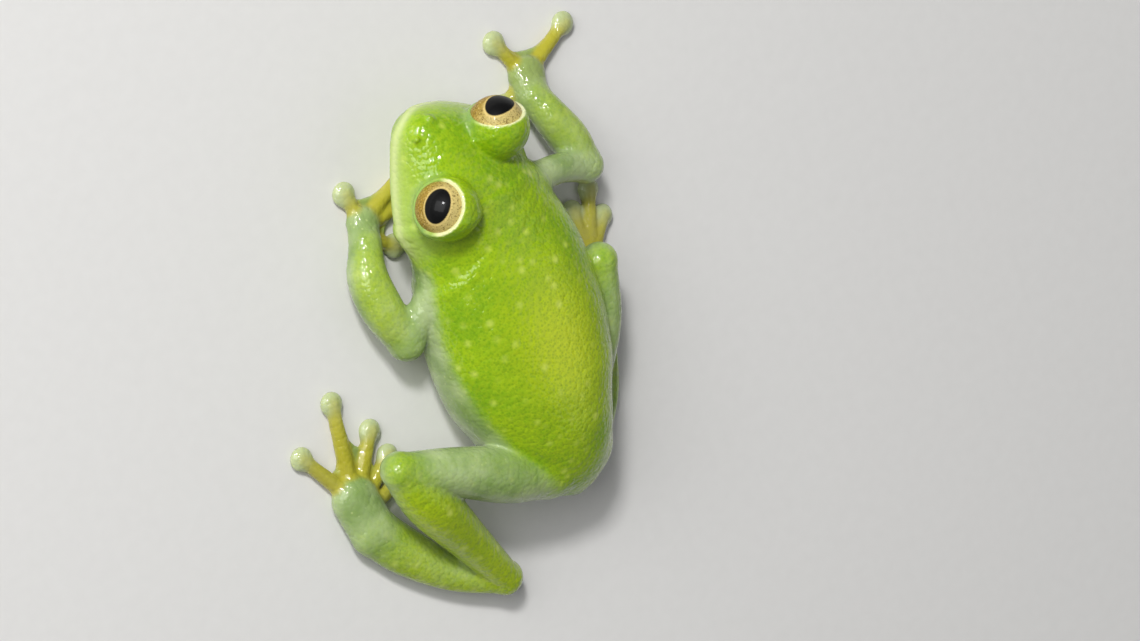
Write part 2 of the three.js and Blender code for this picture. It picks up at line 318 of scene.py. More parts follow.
def smooth_table(table):
    """A function that blends the table's columns by its first one, without overshoot."""
    rows = np.asarray(table, float)
    heads, values = rows[:, 0], rows[:, 1:]
    slopes = np.diff(values, axis=0) / np.diff(heads)[:, None]
    before, after = slopes[:-1], slopes[1:]
    steady = before * after > 0
    middle = np.where(steady, 2 * before * after / np.where(steady, before + after, 1), 0)
    tangents = np.vstack([slopes[:1], middle, slopes[-1:]])

    def at(x):
        x = np.clip(x, heads[0], heads[-1])
        i = np.clip(np.searchsorted(heads, x, side="right") - 1, 0, len(heads) - 2)
        width = heads[i + 1] - heads[i]
        t = ((x - heads[i]) / width)[:, None]
        width = width[:, None]
        lift = values[i] * (1 + 2 * t) * (1 - t) ** 2 + values[i + 1] * t * t * (3 - 2 * t)
        lean = tangents[i] * t * (1 - t) ** 2 - tangents[i + 1] * t * t * (1 - t)
        return lift + lean * width

    return at


def tail(before, end, count=3):
    """Sections that go on shrinking beyond an end as they did before it."""
    step, ratio = end[0] - before[0], end[2] / before[2]
    y, middle, half, top, bottom, widest = end
    rows = []
    for i in range(1, count + 1):
        share = ratio ** i
        rise, drop = (top - widest) * share, (widest - bottom) * share
        rows.append((y + i * step, middle, half * share, widest + rise, widest - drop, widest))
    return rows


def body_size(shape):
    """How many times larger than the body a copy through each point would be."""
    rows = shape["sections"]
    sections = smooth_table(tail(rows[1], rows[0])[::-1] + rows + tail(rows[-2], rows[-1]))
    first, last = shape["sections"][0][0], shape["sections"][-1][0]
    end_power = 9.0

    def size(points):
        middle, half, top, bottom, widest = sections(points[:, 1]).T
        rise = points[:, 2] - widest
        upper = rise > 0
        power = np.where(upper, shape["top_power"], shape["bottom_power"])
        height = np.where(upper, top - widest, widest - bottom)
        across = (np.abs(points[:, 0] - middle) / half) ** power
        section = (across + (np.abs(rise) / height) ** power) ** (1 / power)
        along = np.abs(2 * points[:, 1] - first - last) / (last - first)
        return (section ** end_power + along ** end_power) ** (1 / end_power)

    return size


def body_field(shape):
    size = body_size(shape)
    nudge = 0.02
    least_steepness = 0.08
    deepest, farthest = -3, 8

    def field(points):
        here = size(points)
        steps = [(size(points + nudge * axis) - here) / nudge for axis in np.eye(3)]
        steepness = np.sqrt(sum(step * step for step in steps))
        return np.clip((here - 1) / np.maximum(steepness, least_steepness), deepest, farthest)

    first, last = shape["sections"][0], shape["sections"][-1]
    low_x = min(row[1] - row[2] for row in shape["sections"])
    high_x = max(row[1] + row[2] for row in shape["sections"])
    low = (low_x, first[0], min(row[4] for row in shape["sections"]))
    high = (high_x, last[0], max(row[3] for row in shape["sections"]))
    return culled(field, low, high, BODY_MARGIN)


def rounded_line(stations, steps=5):
    """The stations with smooth ones between them."""
    rows = np.asarray(stations, float)
    padded = np.vstack([2 * rows[0] - rows[1], rows, 2 * rows[-1] - rows[-2]])
    line = []
    for a, b, c, d in zip(padded, padded[1:], padded[2:], padded[3:]):
        for step in range(steps):
            t = step / steps
            line.append(
                b + 0.5 * t * (c - a + t * (2 * a - 5 * b + 4 * c - d + t * (3 * (b - c) + d - a)))
            )
    return np.array(line + [rows[-1]])


def limb_field(stations, squash=1.0):
    """A round limb along its stations, or a flattened one where squash is under 1."""
    line = rounded_line(stations) if len(stations) > 2 else np.asarray(stations, float)
    low = (line[:, :3] - line[:, 3:]).min(0)
    high = (line[:, :3] + line[:, 3:]).max(0)
    stretch = np.array([1, 1, 1 / squash])

    def field(points):
        best = np.full(len(points), np.inf)
        for start, end in zip(line, line[1:]):
            span = end[:3] - start[:3]
            t = np.clip((points - start[:3]) @ span / (span @ span), 0, 1)
            middle = start + t[:, None] * (end - start)
            away = np.linalg.norm((points - middle[:, :3]) * stretch, axis=1)
            best = np.minimum(best, away - middle[:, 3])
        return best

    return culled(field, low, high, LIMB_MARGIN)


def disc_field(centre, radius):
    """The flattened pad under a digit's tip."""
    axes = np.array([radius, radius, DISC_HALF_HEIGHT])

    def field(points):
        scaled = (points - centre) / axes
        size = np.linalg.norm(scaled, axis=1)
        steepness = np.linalg.norm(scaled / axes, axis=1) / np.maximum(size, TINY)
        return (size - 1) / np.maximum(steepness, TINY)

    return culled(field, centre - axes, centre + axes, THIN_MARGIN)


def web_field(palm, root_a, tip_a, root_b, tip_b, reach):
    """A thin plate between two digits, up to a share of their lengths, with a hollow edge."""
    a = root_a + reach * (tip_a - root_a)
    b = root_b + reach * (tip_b - root_b)
    hollow = (a + b) / 2 + WEB_HOLLOW * (palm - (a + b) / 2)
    shares = np.linspace(0, 1, WEB_EDGE_POINTS)
    edge = [a * (1 - t) ** 2 + hollow * 2 * t * (1 - t) + b * t * t for t in shares]
    corners = np.array([palm] + edge)

    def field(points):
        flat = points[:, :2]
        inside = np.zeros(len(flat), bool)
        away = np.full(len(flat), np.inf)
        for start, end in zip(corners, np.roll(corners, -1, axis=0)):
            span = end - start
            t = np.clip((flat - start) @ span / (span @ span), 0, 1)
            away = np.minimum(away, np.linalg.norm(flat - start - t[:, None] * span, axis=1))
            crosses = (start[1] > flat[:, 1]) != (end[1] > flat[:, 1])
            slope = span[0] / (span[1] if abs(span[1]) > TINY else TINY)
            inside ^= crosses & (flat[:, 0] < start[0] + (flat[:, 1] - start[1]) * slope)
        sideways = np.where(inside, -away, away)
        upright = np.abs(points[:, 2] - WEB_HEIGHT) - WEB_HALF_THICKNESS
        return smooth_max(sideways, upright, WEB_EDGE_BLEND)

    return culled(field, [*corners.min(0), 0], [*corners.max(0), 2 * WEB_HEIGHT], THIN_MARGIN)


def hand_fields(member, digit_radius, disc_radius):
    """The palm, the digits with their pads, and the webs of a hand or foot."""
    start, end = (np.array(station[:2]) for station in member["palm"])
    rays = [(start + share * (end - start), np.array([x, y])) for share, x, y in member["digits"]]
    digits, pads = [], []
    for root, tip in rays:
        stations = []
        for share, height, thickness in DIGIT_STATIONS:
            x, y = root + share * (tip - root)
            stations.append((x, y, height, thickness * digit_radius))
        digits.append(limb_field(stations))
        pads.append(disc_field(np.array([*tip, DISC_HALF_HEIGHT - PAD_SINK]), disc_radius))
    webs = [
        web_field(start, *rays[i], *rays[i + 1], reach) for i, reach in enumerate(member["webs"])
    ]
    return limb_field(member["palm"], PALM_SQUASH), digits, pads, webs


def make_parts():
    """Each solid's shape as a field, or as the fields of a hand or foot."""
    parts = {"trunk": body_field(TRUNK), "head": body_field(HEAD)}
    for side, _ in SIDES:
        arm, leg = ARMS[side], LEGS[side]
        bend = arm["bend"]
        parts[f"upper_arm_{side}"] = limb_field(arm["limb"][: bend + 1])
        parts[f"forearm_{side}"] = limb_field(arm["limb"][bend:])
        for name in ("thigh", "shank"):
            parts[f"{name}_{side}"] = limb_field(leg[name])
        parts[f"tarsus_{side}"] = limb_field(leg["tarsus"], TARSUS_SQUASH)
        parts[f"hand_{side}"] = hand_fields(arm, FINGER_RADIUS, FINGER_DISC)
        parts[f"foot_{side}"] = hand_fields(leg, TOE_RADIUS, TOE_DISC)
    return parts


PARTS = make_parts()


def joined(fields, points, width):
    """The distance to the nearest of several shapes, run softly into each other."""
    result = fields[0](points)
    for field in fields[1:]:
        result = smooth_min(result, field(points), width)
    return result


def hand_distances(member, points):
    """Distances to the palm, the digits, the pads and the webs."""
    palm, digits, pads, webs = member
    return (
        palm(points),
        joined(digits, points, DIGIT_BLEND),
        joined(pads, points, THIN_BLEND),
        joined(webs, points, THIN_BLEND),
    )


def hand_distance(member, points):
    palm, digits, pads, webs = hand_distances(member, points)
    whole = smooth_min(palm, digits, DIGIT_BLEND)
    whole = smooth_min(whole, pads, DIGIT_BLEND)
    return smooth_min(whole, webs, WEB_BLEND)


def mouth_line(local):
    """1 along the closed mouth, fading to 0 above and below it."""
    rows = np.array(HEAD["sections"])
    line = np.interp(local[:, 1], rows[:, 0], rows[:, 5]) - MOUTH_BELOW_WIDEST
    above = (local[:, 2] - line) / MOUTH_HALF_WIDTH
    along = fade(local[:, 1], MOUTH_CORNER - MOUTH_FADE, MOUTH_CORNER)
    return along * np.exp(-above * above)


def head_distance(points):
    local = to_head(points)
    head = PARTS["head"](local)
    for name, side in SIDES:
        eye = EYES[name]
        lower_lid = ball(points, eye["centre"], LOWER_LID_RADIUS)
        upper_lid = ball(points, eye["lid"], UPPER_LID_RADIUS)
        head = smooth_min(head, lower_lid, LOWER_LID_BLEND)
        head = smooth_min(head, upper_lid, UPPER_LID_BLEND)
        nostril = mirrored(NOSTRIL_AT, side)
        head = smooth_min(head, ball(local, nostril, NOSTRIL_RADIUS), NOSTRIL_BLEND)
        pit = nostril + mirrored(PIT_SHIFT, side)
        head = smooth_max(head, -ball(local, pit, PIT_RADIUS), PIT_BLEND)
    return head + MOUTH_DEPTH * mouth_line(local)


def round_the_eye(points, eye):
    """Height over an eye's centre, distance from its axis, and 1 above to -1 below."""
    least_radius = 0.1
    away = points - eye["centre"]
    height = away @ eye["opening"]
    radius = np.linalg.norm(away - height[:, None] * eye["opening"], axis=1)
    return height, radius, away @ eye["upper"] / np.maximum(radius, least_radius)


def lid_wall(height, radius):
    """Distance to the flared wall that the gap between the lids is cut with."""
    flared = OPENING_RADIUS + OPENING_FLARE * (height - OPENING_HEIGHT)
    return (radius - flared) / math.hypot(1, OPENING_FLARE)


def eye_openings(points, flesh):
    """The flesh without the gaps between the lids."""
    for eye in EYES.values():
        height, radius, _ = round_the_eye(points, eye)
        gap = smooth_max(lid_wall(height, radius), OPENING_HEIGHT - height, GAP_BLEND)
        flesh = smooth_max(flesh, -gap, LID_EDGE_BLEND)
    return flesh


def arm_distance(side, points):
    upper_arm, forearm, hand = (PARTS[f"{name}_{side}"] for name in ("upper_arm", "forearm", "hand"))
    arm = smooth_min(upper_arm(points), forearm(points), ELBOW_BLEND)
    return smooth_min(arm, hand_distance(hand, points), PALM_BLEND)


def leg_distance(side, points):
    names = ("thigh", "shank", "tarsus", "foot")
    thigh, shank, tarsus, foot = (PARTS[f"{name}_{side}"] for name in names)
    at_heel = HEEL_BLEND * near(points, LEGS[side]["tarsus"][0][:3], HEEL_REACH)
    leg = smooth_min(thigh(points), shank(points), CREASE)
    leg = smooth_min(leg, tarsus(points), CREASE + at_heel)
    return smooth_min(leg, hand_distance(foot, points), CREASE)


def skin_field(points):
    """The whole skin, for points in the frog's frame."""
    trunk = PARTS["trunk"](points)
    flesh = smooth_min(trunk, head_distance(points), NECK_BLEND)
    for side, _ in SIDES:
        arm, leg = ARMS[side], LEGS[side]
        at_shoulder = SHOULDER_BLEND * near(points, arm["limb"][0][:3], SHOULDER_REACH)
        at_hip = HIP_BLEND * near(points, leg["thigh"][0][:3], HIP_REACH)
        flesh = smooth_min(flesh, arm_distance(side, points), CREASE + at_shoulder)
        flesh = smooth_min(flesh, leg_distance(side, points), CREASE + at_hip)
    flesh = eye_openings(points, flesh)
    return np.maximum(flesh, -points[:, 2])


# The surface where a field is zero, as a mesh of four-sided faces. Space is cut into blocks
# of small cells, and only the blocks that the surface may cross are looked into.
BLOCK = 4
CUBE = [BLOCK + 1] * 3
CELL_CORNERS = np.array([(i, j, k) for i in (0, 1) for j in (0, 1) for k in (0, 1)])
CELL_EDGES = [
    (a, b)
    for a in range(len(CELL_CORNERS))
    for b in range(a + 1, len(CELL_CORNERS))
    if np.abs(CELL_CORNERS[a] - CELL_CORNERS[b]).sum() == 1
]


def in_chunks(field, points, size=400000):
    """The field's values, worked out for some of the points at a time to save memory."""
    return np.concatenate([field(points[i : i + size]) for i in range(0, len(points), size)])


def triples(counts):
    """All places in a grid with these counts, as rows of three whole numbers."""
    return np.stack(np.meshgrid(*map(np.arange, counts), indexing="ij"), -1).reshape(-1, 3)


def crossed_blocks(field, low, counts, side):
    """The blocks that the surface may cross, with some room because fields are inexact."""
    blocks = triples(counts)
    middle = in_chunks(field, low + (blocks + 0.5) * side)
    reach = side * 1.2 + 0.2
    return blocks[np.abs(middle) < reach]


def at_corner(values, corner):
    """The values at one corner of every cell, from those at a block's grid points."""
    i, j, k = corner
    return values[:, i : i + BLOCK, j : j + BLOCK, k : k + BLOCK]


def cell_points(corner_values):
    """The middle of the places where a cell's edges cross the surface."""
    total = np.zeros((len(corner_values), 3))
    crossings = np.zeros(len(corner_values))
    for a, b in CELL_EDGES:
        start, end = corner_values[:, a], corner_values[:, b]
        cut = (start < 0) != (end < 0)
        t = np.where(cut, start / np.where(cut, start - end, 1), 0)
        spot = CELL_CORNERS[a] + t[:, None] * (CELL_CORNERS[b] - CELL_CORNERS[a])
        total += np.where(cut[:, None], spot, 0)
        crossings += cut
    return total / crossings[:, None]


def cell_faces(inside, starts, cell_keys, place):
    """A face round each grid edge that crosses the surface, through the cells beside it."""
    order = np.argsort(cell_keys)
    sorted_keys = cell_keys[order]
    faces = []
    for axis, ahead in enumerate(np.eye(3, dtype=int)):
        here, there = at_corner(inside, (0, 0, 0)), at_corner(inside, ahead)
        u, v = place[(axis + 1) % 3], place[(axis + 2) % 3]
        for leaving in (True, False):
            cut = (here & ~there) if leaving else (~here & there)
            key = starts[cut] @ place
            ring = np.stack([key - u - v, key - v, key, key - u], -1)
            if not leaving:
                ring = ring[:, ::-1]
            index = np.searchsorted(sorted_keys, ring)
            index = np.clip(index, 0, len(sorted_keys) - 1)
            known = (sorted_keys[index] == ring).all(1)
            faces.append(order[index[known]])
    return np.vstack(faces)


def surface(field, low, high, step):
    """Points and faces of the surface in a box, from cells with sides of one step."""
    side = step * BLOCK
    counts = np.ceil((high - low) / side).astype(int)
    blocks = crossed_blocks(field, low, counts, side)
    corners = (blocks * BLOCK)[:, None] + triples(CUBE)
    # Each grid point has one whole number as its key, and two spare ones end each row
    grid = counts * BLOCK + 3
    place = np.array([grid[1] * grid[2], grid[2], 1])
    keys, back = np.unique((corners @ place).ravel(), return_inverse=True)
    whole = np.stack([keys // place[0], keys // place[1] % grid[1], keys % grid[2]], -1)
    values = in_chunks(field, low + whole * step)[back].reshape(-1, *CUBE)
    inside = values < 0
    states = np.stack([at_corner(inside, corner) for corner in CELL_CORNERS], -1)
    mixed = states.any(-1) & ~states.all(-1)
    corner_values = np.stack([at_corner(values, corner) for corner in CELL_CORNERS], -1)[mixed]
    starts = at_corner(corners.reshape(-1, *CUBE, 3), (0, 0, 0))
    cells = starts[mixed]
    points = low + (cells + cell_points(corner_values)) * step
    return points, cell_faces(inside, starts, cells @ place, place)


def settled(field, points, rounds=2, nudge=0.01):
    """The points moved onto the surface."""
    least_steepness = 0.2
    longest_move = 0.08
    for _ in range(rounds):
        value = field(points)
        lean = np.stack([(field(points + nudge * axis) - value) / nudge for axis in np.eye(3)], -1)
        steep = np.maximum((lean ** 2).sum(1), least_steepness)
        move = lean * (value / steep)[:, None]
        length = np.linalg.norm(move, axis=1)
        move *= np.minimum(1, longest_move / np.maximum(length, TINY))[:, None]
        points = points - move
        points[:, 2] = np.maximum(points[:, 2], 0)
    return points


# From the frog's millimetres to the scene's metres, matched at the left eye's solid
def middle_of(node):
    low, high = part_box(node)
    return np.array((low + high) / 2)


SHIFT = middle_of("eye_left") - EYES["left"]["centre"] * MM


def to_scene(points):
    return np.asarray(points) * MM + SHIFT


def mesh_object(name, points, faces, material):
    mesh = bpy.data.meshes.new(name)
    mesh.from_pydata(to_scene(points).tolist(), [], [tuple(face) for face in faces])
    mesh.polygons.foreach_set("use_smooth", np.ones(len(mesh.polygons), bool))
    mesh.materials.append(material)
    mesh.update()
    piece = bpy.data.objects.new(name, mesh)
    bpy.context.scene.collection.objects.link(piece)
    return piece


def set_attribute(piece, name, values):
    attribute = piece.data.attributes.new(name, "FLOAT", "POINT")
    attribute.data.foreach_set("value", np.asarray(values, np.float32))


# Markings, as amounts at each point of the skin, where 1 is the whole marking. A pair says
# where ramp() or fade() begins and ends. Heights on the trunk and the head are shares of the
# way from the widest line to the top.
SHARE_FADE = 0.25  # how far neighbouring parts fade into each other
BACK_HEIGHTS = (0.05, 0.5)
CROWN_HEIGHTS = (-0.35, 0.1)
RUMP_RISE = 0.22  # how much higher the green's edge runs at the rump
RUMP_ALONG = (-3, 5)
LIP_ABOVE_WIDEST = 0.15
LIP_HALF_HEIGHT = 0.28
LIP_ALONG = (1.0, 3.6)
CHEEK_HEIGHTS = (0.0, 0.9)
CHEEK_ALONG = (1.5, 3.5)
PAD_FADE = 0.12
WEB_EDGE = (-0.12, 0.1)
DIGIT_EDGE = (0.0, 0.25)
WARM_AT = np.array([0.0, 0.2, 7.0])
WARM_REACH = np.array([3.0, 4.2, 6.0])
WARM_LIMBS = ("shank_left", "tarsus_left", "forearm_left", "forearm_right")
WARM_ON_LIMBS = 0.5

# The green on a limb: from and to which height over its middle, in half thicknesses, and
# how much at most
LIMB_COVER = (
    ("shank", -0.5, 0.4, 0.85),
    ("forearm", -0.4, 0.7, 0.5),
    ("tarsus", -0.4, 0.4, 0.6),
    ("thigh", 0.0, 1.4, 0.35),
    ("upper_arm", 0.3, 1.6, 0.1),
)

# Round an eye: the pale rim on the upper lid's edge, and the socket below, grey-green thin skin darkened
# with painted shade.
# Heights here are over the eye's centre, and a side is 1 above the eye and -1 below it.
RIM_HEIGHTS = (0.3, 0.6)
RIM_RADII = (2.2, 2.6)
RIM_HALF_WIDTHS = (0.07, 0.15)
RIM_UPPER_SIDE = (-0.2, 0.3)
SOCKET_HEIGHTS = (-0.4, 0.4)
SOCKET_RADII = (1.6, 2.3)
SOCKET_LOWER_SIDE = (-0.4, 0.2)


def part_shares(distances):
    """How much of each part's skin a point has, where neighbours fade into each other."""
    nearest = np.minimum.reduce(list(distances.values()))
    weights = {
        name: np.exp(-(distance - nearest) / SHARE_FADE) for name, distance in distances.items()
    }
    total = sum(weights.values())
    return {name: weight / total for name, weight in weights.items()}


def height_on(shape, points):
    """Height over a body's widest line, and the same as a share of its top's height."""
    _, _, top, _, widest = smooth_table(shape["sections"])(points[:, 1]).T
    rise = points[:, 2] - widest
    return rise, rise / (top - widest)


def height_on_limb(stations, points):
    """Height over a limb's middle, in half thicknesses."""
    line = rounded_line(stations)
    gap = np.linalg.norm(points[:, None, :2] - line[None, :, :2], axis=2)
    level = line[gap.argmin(1)]
    return (points[:, 2] - level[:, 2]) / level[:, 3]


def green_cover(points, share, head_height):
    _, height = height_on(TRUNK, points)
    rear = RUMP_RISE * ramp(points[:, 1], *RUMP_ALONG)
    back = ramp(height - rear, *BACK_HEIGHTS)
    crown = ramp(head_height, *CROWN_HEIGHTS)
    cover = share["trunk"] * back + share["head"] * crown
    for side, _ in SIDES:
        for name, low, high, most in LIMB_COVER:
            stations = ARMS[side]["limb"] if "arm" in name else LEGS[side][name]
            rise = height_on_limb(stations, points)
            cover = cover + share[f"{name}_{side}"] * most * ramp(rise, low, high)
    return np.clip(cover, 0, 1)


def eye_markings(points):
    """The pale rims on the upper lids, and the grey-green thin skin below the eyes, darkened with painted
    shade.
    """
    rim, socket = np.zeros(len(points)), np.zeros(len(points))
    for eye in EYES.values():
        height, radius, upper = round_the_eye(points, eye)
        close = ramp(height, *RIM_HEIGHTS) * fade(radius, *RIM_RADII)
        edge = fade(np.abs(lid_wall(height, radius)), *RIM_HALF_WIDTHS)
        rim = np.maximum(rim, close * edge * ramp(upper, *RIM_UPPER_SIDE))
        # The socket: the thin skin's grey-green below the eye, with painted shade in the hollow there
        beside = fade(radius, *SOCKET_RADII) * ramp(height, *SOCKET_HEIGHTS)
        socket = np.maximum(socket, beside * fade(upper, *SOCKET_LOWER_SIDE))
    return rim, socket


def skin_markings(points):
    """The amount of each marking at each point, by the marking's name."""
    distances = {name: field(points) for name, field in PARTS.items() if callable(field)}
    distances["head"] = head_distance(points)
    pads, webs, digits = [], [], []
    limb_ends = [f"{kind}_{side}" for kind in ("hand", "foot") for side, _ in SIDES]
    for name in limb_ends:
        palm, rays, tips, skins = hand_distances(PARTS[name], points)
        distances[name] = np.minimum.reduce([palm, rays, tips, skins])
        pads.append(tips)
        webs.append(skins - np.minimum(rays, palm))
        digits.append(rays)
    share = part_shares(distances)
    on_limb_ends = sum(share[name] for name in limb_ends)
    local = to_head(points)
    rise, height = height_on(HEAD, local)
    from_lip = np.abs(rise - LIP_ABOVE_WIDEST) / LIP_HALF_HEIGHT
    lip = np.exp(-(from_lip ** 2)) * fade(local[:, 1], *LIP_ALONG)
    cheek = fade(height, *CHEEK_HEIGHTS) * fade(local[:, 1], *CHEEK_ALONG)
    warm = np.exp(-(((points - WARM_AT) / WARM_REACH) ** 2).sum(1))
    rim, socket = eye_markings(points)
    return {
        "cover": green_cover(points, share, height),
        "digit": on_limb_ends * fade(np.minimum.reduce(digits), *DIGIT_EDGE),
        "pad": np.exp(-np.maximum(np.minimum.reduce(pads), 0) / PAD_FADE),
        "web": on_limb_ends * fade(np.minimum.reduce(webs), *WEB_EDGE),
        "lip": share["head"] * lip,
        "mouth": share["head"] * mouth_line(local),
        "cheek": share["head"] * cheek,
        "rim": rim,
        # painted shade below the eyes, over the thin skin's own grey-green
        "socket": socket,
        "warm": warm + WARM_ON_LIMBS * sum(share[name] for name in WARM_LIMBS),
    }


# A box with room around the whole skin
SKIN_LOW = np.array([-12.5, -16.6, -0.35])
SKIN_HIGH = np.array([16.0, 15.0, 8.8])


def make_skin(material):
    points, faces = surface(skin_field, SKIN_LOW, SKIN_HIGH, SKIN_STEP)
    points = settled(skin_field, points)
    skin = mesh_object("skin", points, faces, material)
    for name, values in skin_markings(points).items():
        set_attribute(skin, name, values)
    return skin


# Materials, made of nodes
class Shader:
    """A small helper that adds nodes to one material and joins them."""

    # Where the mix node keeps its colour sockets
    MIX_AMOUNT, MIX_COLOUR_A, MIX_COLOUR_B = 0, 6, 7
    MIXED_COLOUR = 2

    def __init__(self, name):
        self.material = bpy.data.materials.new(name)
        self.material.use_nodes = True
        self.tree = self.material.node_tree
        self.surface = self.tree.nodes["Principled BSDF"]

    def node(self, kind, inputs=None, **settings):
        node = self.tree.nodes.new(kind)
        for name, value in settings.items():
            setattr(node, name, value)
        for name, value in (inputs or {}).items():
            self.put(node, name, value)
        return node

    def put(self, node, name, value):
        socket = node.inputs[name]
        if isinstance(value, bpy.types.NodeSocket):
            self.tree.links.new(value, socket)
        else:
            socket.default_value = value

    def amount(self, name):
        return self.node("ShaderNodeAttribute", attribute_name=name).outputs["Fac"]

    def math(self, operation, a, b):
        return self.node("ShaderNodeMath", {0: a, 1: b}, operation=operation).outputs[0]

    def mix(self, amount, a, b):
        """Colour a, with an amount of colour b over it."""
        inputs = {self.MIX_AMOUNT: amount, self.MIX_COLOUR_A: a, self.MIX_COLOUR_B: b}
        node = self.node("ShaderNodeMix", inputs, data_type="RGBA")
        return node.outputs[self.MIXED_COLOUR]

    def between(self, value, low, high, to_low=0.0, to_high=1.0):
        """to_low where the value is at low, rising smoothly to to_high where it is at high."""
        node = self.node(
            "ShaderNodeMapRange",
            {"From Min": low, "From Max": high, "To Min": to_low, "To Max": to_high},
            interpolation_type="SMOOTHSTEP",
        )
        self.put(node, "Value", value)
        return node.outputs["Result"]

    def place(self):
        """The point's place on the model, in millimetres."""
        here = self.node("ShaderNodeTexCoord").outputs["Object"]
        inputs = {"Vector": here, "Scale": 1 / MM}
        return self.node("ShaderNodeVectorMath", inputs, operation="SCALE").outputs["Vector"]

    def noise(self, where, pitch, detail, roughness=0.5):
        return self.node(
            "ShaderNodeTexNoise",
            {"Vector": where, "Scale": 1 / pitch, "Detail": detail, "Roughness": roughness},
        ).outputs["Fac"]

    def cells(self, where, pitch, randomness=1.0):
        """Distance to the middle of the nearest of many small cells."""
        inputs = {"Vector": where, "Scale": 1 / pitch, "Randomness": randomness}
        return self.node("ShaderNodeTexVoronoi", inputs).outputs["Distance"]

    def domes(self, where, pitch):
        """Height of low round grains that fill the surface."""
        away = self.cells(where, pitch)
        return self.math("SUBTRACT", 1.0, self.math("MULTIPLY", away, away))

    def bump(self, height, depth, strength=1.0, below=None):
        """The surface's direction with a relief on it, over the relief below if there is one."""
        node = self.node(
            "ShaderNodeBump", {"Height": height, "Distance": depth * MM, "Strength": strength}
        )
        if below is not None:
            self.put(node, "Normal", below)
        return node.outputs["Normal"]


def rgb(red, green, blue):
    return (red, green, blue, 1.0)


# Colours of the skin, and of what is laid over it
LIME = rgb(0.29, 0.47, 0.004)
LIME_WARM = rgb(0.52, 0.61, 0.010)
LIME_DEEP = rgb(0.19, 0.37, 0.004)
STIPPLE = rgb(0.10, 0.25, 0.003)
SPOT = rgb(0.62, 0.72, 0.12)
CHEEK = rgb(0.42, 0.55, 0.13)
CLEAR_SKIN = rgb(0.23, 0.34, 0.10)
CLEAR_SKIN_PALE = rgb(0.42, 0.52, 0.25)
YELLOW = rgb(0.45, 0.39, 0.012)
PAD = rgb(0.50, 0.56, 0.30)
WEB = rgb(0.27, 0.35, 0.09)
LIP = rgb(0.60, 0.68, 0.30)
RIM = rgb(0.82, 0.82, 0.45)
# The grey-green of the thin skin below the eyes, darkened as painted shade
SOCKET_SHADE = rgb(0.24, 0.36, 0.15)
WARM_STRENGTH = 0.85

# Colours laid over the skin one after another: the marking's name, its strength, its colour
LAYERS = (
    ("cheek", 0.8, CHEEK),
    # painted shade below the eyes, over the thin skin's own grey-green
    ("socket", 0.45, SOCKET_SHADE),
    ("web", 0.85, WEB),
    ("digit", 0.8, YELLOW),
    ("pad", 0.9, PAD),
    ("lip", 0.8, LIP),
    ("mouth", 0.4, LIME_DEEP),
    ("rim", 0.9, RIM),
)


def back_colour(s, where):
    """Lime green with fine dark dots and soft pale spots."""
    patches = s.between(s.noise(where, pitch=4.0, detail=2), 0.38, 0.62)
    flecks = s.between(s.noise(where, pitch=0.3, detail=2), 0.35, 0.7, to_high=0.2)
    dots = s.between(s.cells(where, pitch=0.17), 0.6, 0.2, to_high=0.32)
    spots = s.between(s.cells(where, pitch=1.0, randomness=0.9), 0.36, 0.02)
    spot_strength = s.between(s.noise(where, pitch=1.3, detail=1), 0.35, 0.65, 0.2, 0.7)
    green = s.mix(patches, LIME_DEEP, LIME)
    green = s.mix(s.math("MULTIPLY", s.amount("warm"), WARM_STRENGTH), green, LIME_WARM)
    green = s.mix(flecks, green, LIME_WARM)
    green = s.mix(dots, green, STIPPLE)
    return s.mix(s.math("MULTIPLY", spots, spot_strength), green, SPOT)


def clear_colour(s, where):
    """Skin that light passes through: grey green with paler streaks and specks."""
    streaks = s.between(s.noise(where, pitch=2.0, detail=2), 0.3, 0.7)
    specks = s.between(s.cells(where, pitch=0.45), 0.2, 0.08, to_high=0.35)
    clear = s.mix(streaks, CLEAR_SKIN, CLEAR_SKIN_PALE)
    return s.mix(specks, clear, LIP)


def skin_colour(s, where):
    """Green where the skin is covered, clear elsewhere, with a ragged edge between them."""
    raggedness = 0.35
    unevenness = s.math("SUBTRACT", s.noise(where, pitch=0.35, detail=3), 0.5)
    ragged = s.math("MULTIPLY", unevenness, raggedness)
    covered = s.between(s.math("ADD", s.amount("cover"), ragged), 0.05, 0.85)
    colour = s.mix(covered, clear_colour(s, where), back_colour(s, where))
    for name, strength, layer in LAYERS:
        colour = s.mix(s.math("MULTIPLY", s.amount(name), strength), colour, layer)
    return colour


def skin_normal(s, where):
    """Soft unevenness under fine grains and, over both, larger grains."""
    normal = s.bump(s.noise(where, pitch=1.4, detail=1), depth=0.05, strength=0.3)
    normal = s.bump(s.domes(where, pitch=0.1), depth=0.003, below=normal)
    return s.bump(s.domes(where, pitch=0.27), depth=0.036, below=normal)


def skin_material():
    s = Shader("frog_skin")
    where = s.place()
    normal = skin_normal(s, where)
    mottle = s.noise(where, pitch=0.3, detail=2)
    for name, value in {
        "Base Color": skin_colour(s, where),
        "Roughness": s.between(mottle, 0.3, 0.7, to_low=0.46, to_high=0.58),
        "Normal": normal,
        "Specular IOR Level": 0.15,
        "Subsurface Weight": 0.3,
        "Subsurface Radius": (1.0, 0.95, 0.3),
        "Subsurface Scale": 0.45 * MM,
        "IOR": 1.4,
        "Coat Weight": 0.9,
        "Coat Roughness": 0.05,
        "Coat Normal": normal,
    }.items():
        s.put(s.surface, name, value)
    return s.material


# Eyes, gold with a dark net and a lighter ring round the pupil
IRIS = rgb(0.31, 0.19, 0.013)
IRIS_UPPER = rgb(0.52, 0.42, 0.15)
IRIS_LIGHT = rgb(0.72, 0.55, 0.20)
IRIS_DARK = rgb(0.10, 0.055, 0.008)
PUPIL = rgb(0.003, 0.003, 0.003)
RING_STRENGTH = 0.75

